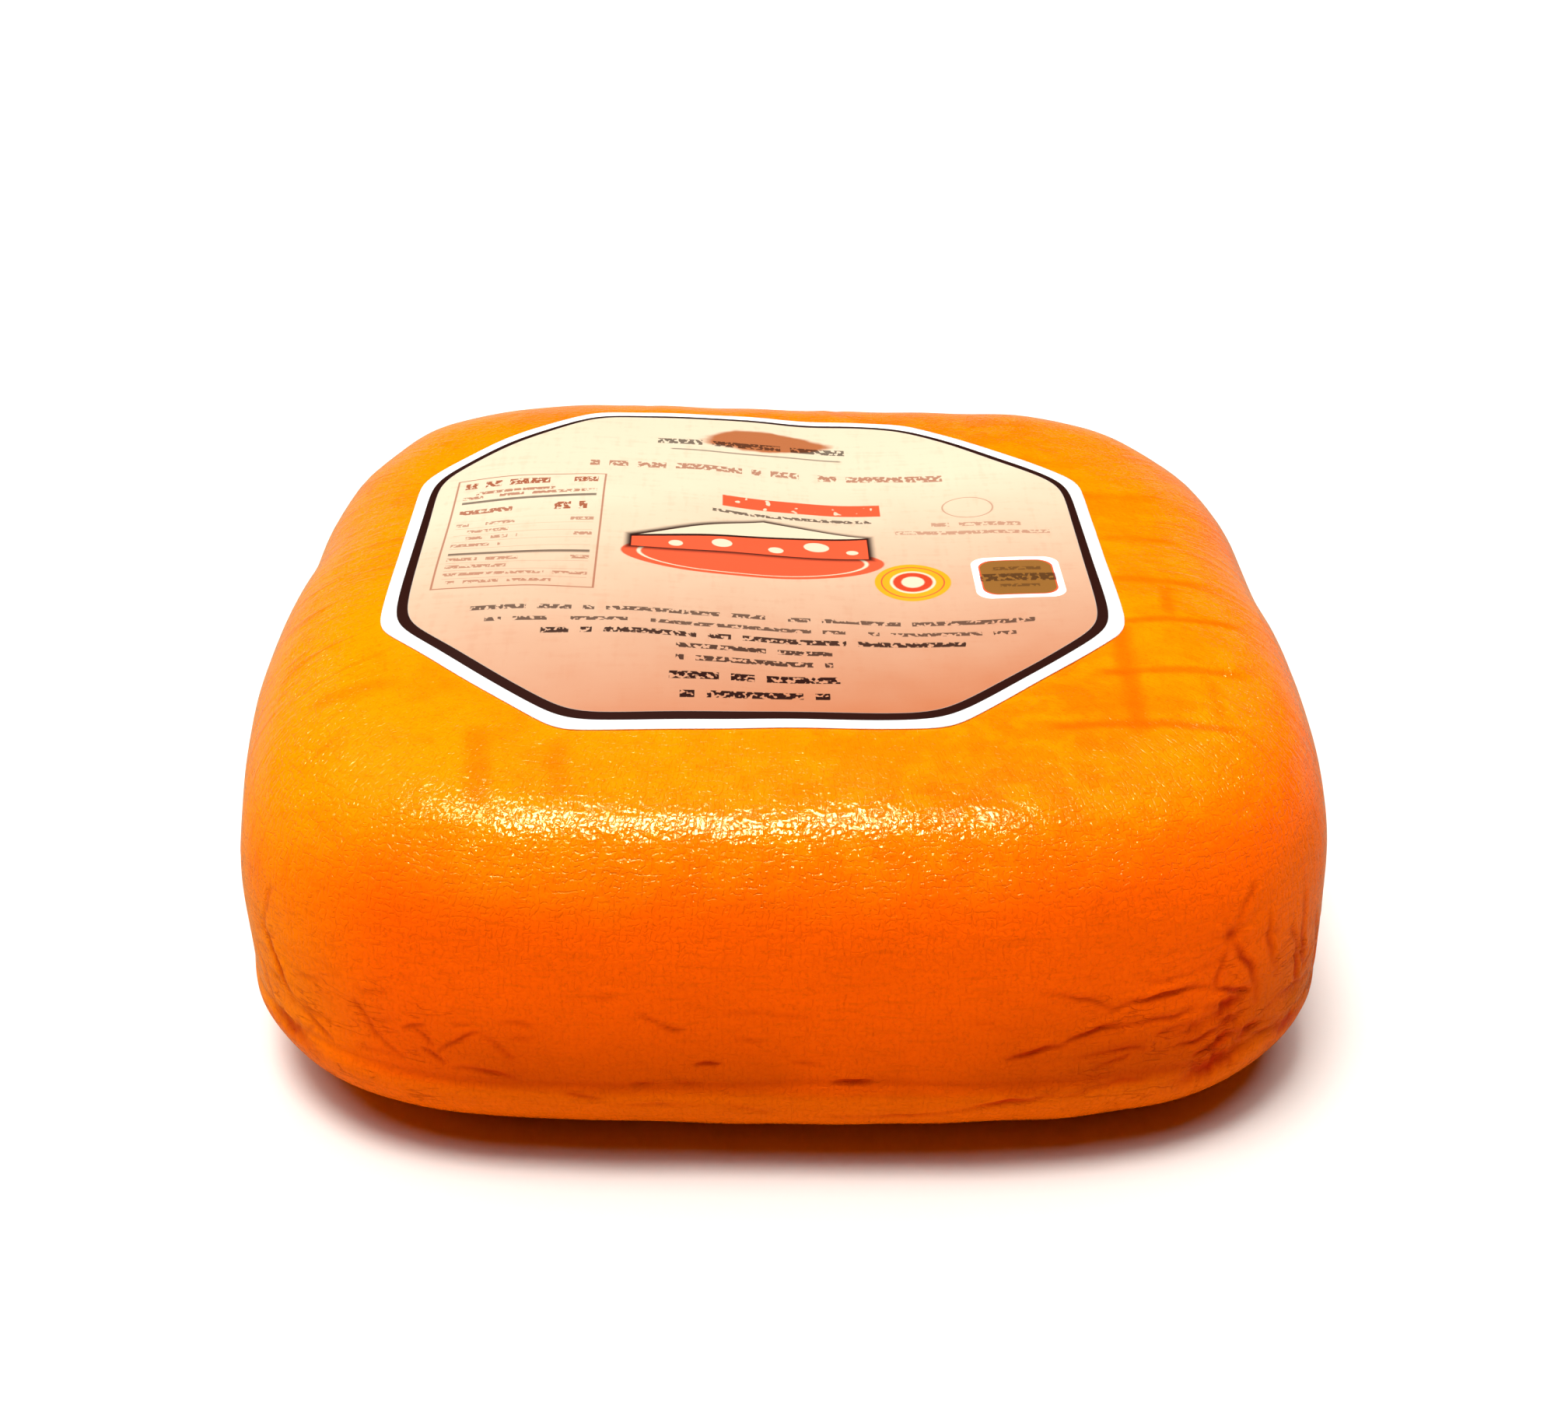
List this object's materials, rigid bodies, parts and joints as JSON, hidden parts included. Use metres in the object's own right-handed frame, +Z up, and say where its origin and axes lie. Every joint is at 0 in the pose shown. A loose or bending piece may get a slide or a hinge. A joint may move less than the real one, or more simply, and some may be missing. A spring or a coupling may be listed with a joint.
{
  "type": "cheese wheel",
  "caption": "Whole rounded-square cheese with a waxed orange rind, flat underneath, with an octagonal paper label stuck on its gently dented top.",
  "frame": {"origin": "middle of the base, at the level that the cheese stands on", "axes": "+Z up through the thickness, the shortest extent; +X and +Y square to the cheese's sides, with -Y towards the label's front edge"},
  "size_m": [0.2, 0.2, 0.0768],
  "materials": {
    "waxed_rind": "glossy wax-like orange rind with a fine cloth imprint",
    "printed_paper": "satin printed paper"
  },
  "bodies": {
    "root": {"cheese": "waxed_rind", "label": "printed_paper"}
  },
  "joints": []
}
